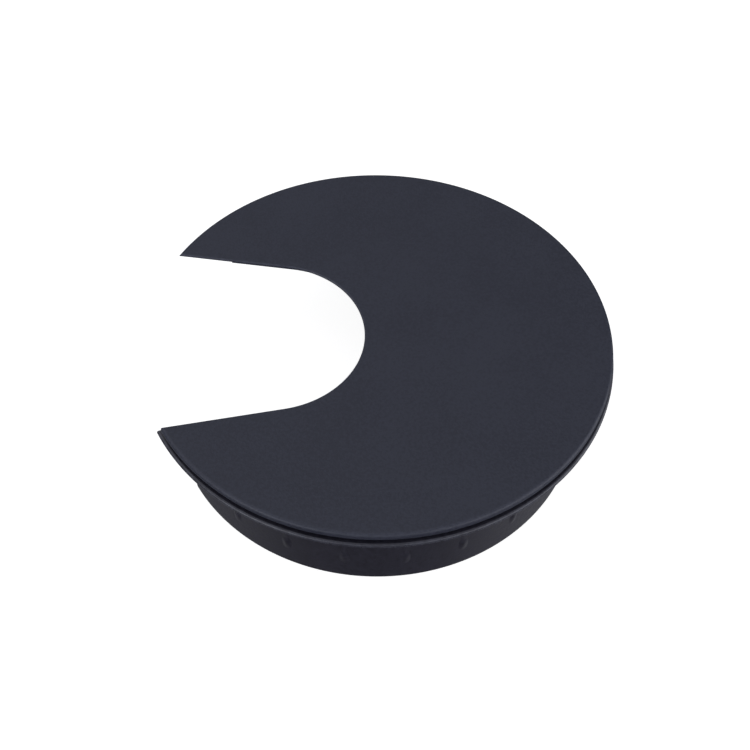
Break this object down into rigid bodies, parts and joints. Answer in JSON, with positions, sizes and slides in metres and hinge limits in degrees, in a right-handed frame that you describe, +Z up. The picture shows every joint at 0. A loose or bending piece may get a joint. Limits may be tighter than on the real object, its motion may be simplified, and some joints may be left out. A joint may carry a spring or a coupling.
{
  "type": "desk grommet",
  "caption": "Round two-piece plastic cable grommet: a flanged liner for a desk's hole, and a snap-in cover with a cable slot open at the rim, which turns on the liner.",
  "frame": {"origin": "on the axis that the cover turns about, level with the desk's surface, which is the underside of the liner's flange", "axes": "+Z up out of the desk, along the hole's axis; at rest the cable slot opens towards -X, turned 1.8 degrees about +Z; -Y towards the user"},
  "size_m": [0.0843, 0.0896, 0.022],
  "materials": {
    "cover_plastic": "fine matte moulded texture, blue-black",
    "liner_plastic": "satin moulded, blue-black, slightly smoother than the cover"
  },
  "bodies": {
    "liner": {"liner": "liner_plastic"},
    "cover": {"cover": "cover_plastic"}
  },
  "joints": [
    {"name": "cover_turn", "type": "hinge", "parent": "liner", "child": "cover", "pos_m": [0, 0, 0], "axis": [0, 0, 1], "continuous": true}
  ]
}
